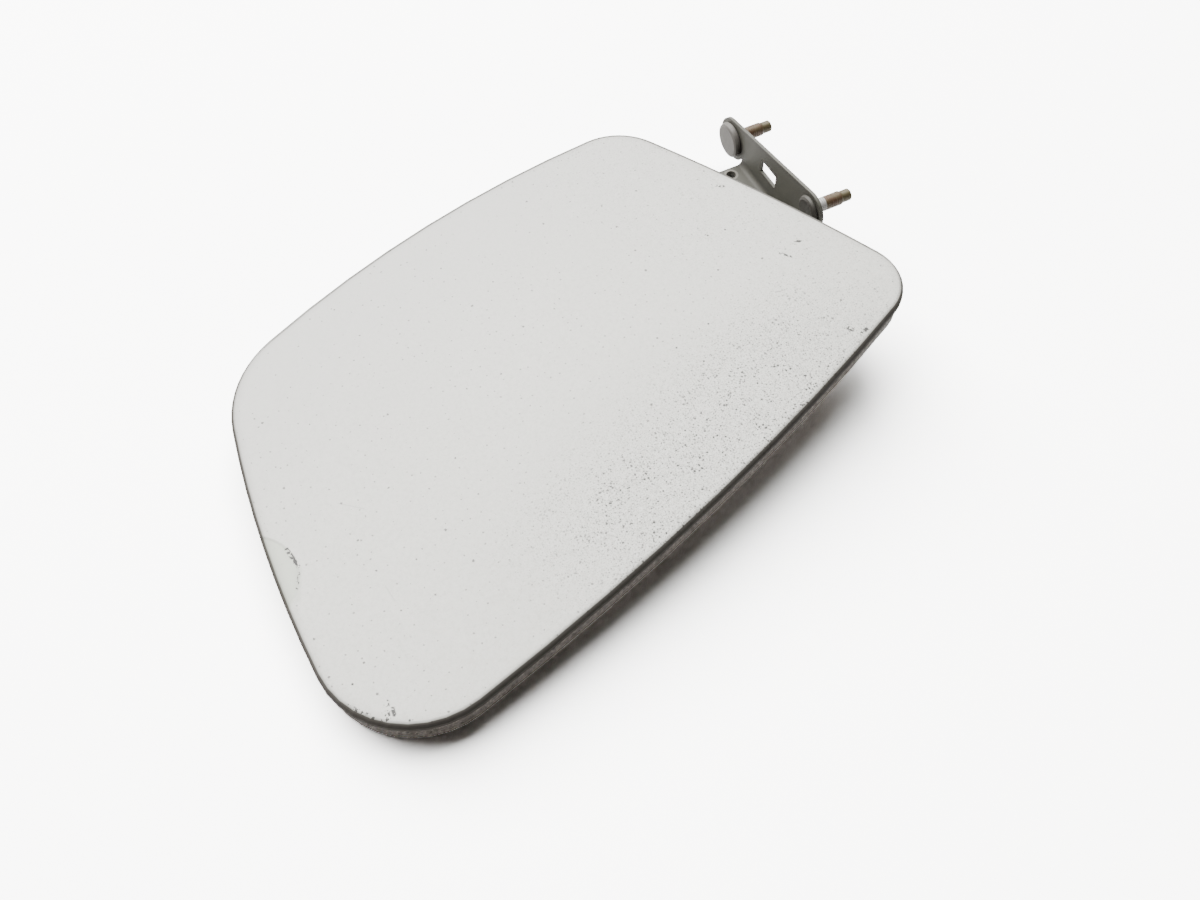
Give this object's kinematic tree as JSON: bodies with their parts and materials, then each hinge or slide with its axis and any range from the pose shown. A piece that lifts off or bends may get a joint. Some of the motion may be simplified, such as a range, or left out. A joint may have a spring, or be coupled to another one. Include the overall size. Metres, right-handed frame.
{
  "type": "car fuel door",
  "caption": "Curved four-sided silver fuel door with a pressed inner pan, carried by a gooseneck hinge on a stamped bracket with two fixing studs.",
  "frame": {"origin": "midway between the two fixing studs on the bracket's seat face", "axes": "+X along the studs, away from the door; +Z out of the painted face; +Y towards the upper stud"},
  "size_m": [0.2312, 0.1835, 0.0366],
  "materials": {
    "silver_paint": "satin",
    "pan_paint": "dull",
    "arm_steel": "satin",
    "bracket_steel": "satin",
    "zinc_steel": "satin",
    "stud_steel": "dull",
    "spring_steel": "satin",
    "nylon": "matte",
    "mastic": "matte",
    "rubber": "matte"
  },
  "bodies": {
    "bracket": {"hinge_bracket": "bracket_steel", "upper_stud": "stud_steel", "lower_stud": "stud_steel", "hinge_pin": "zinc_steel", "pin_clip": "spring_steel", "hinge_spring": "spring_steel"},
    "door": {"outer_skin": "silver_paint", "inner_panel": "pan_paint", "mastic_pads": "mastic", "hinge_arm": "arm_steel", "arm_rivets": "zinc_steel", "front_bush": "nylon", "rear_bush": "nylon", "catch_bridge": "zinc_steel", "catch_rivets": "zinc_steel", "bumper_near": "rubber", "bumper_far": "rubber", "bumper_low": "rubber"}
  },
  "joints": [
    {"name": "door_hinge", "type": "hinge", "parent": "bracket", "child": "door", "pos_m": [-0.01488, 0.00255, -0.00685], "axis": [-0.4695, 0.8829, 0], "range_deg": [0, 65]}
  ]
}
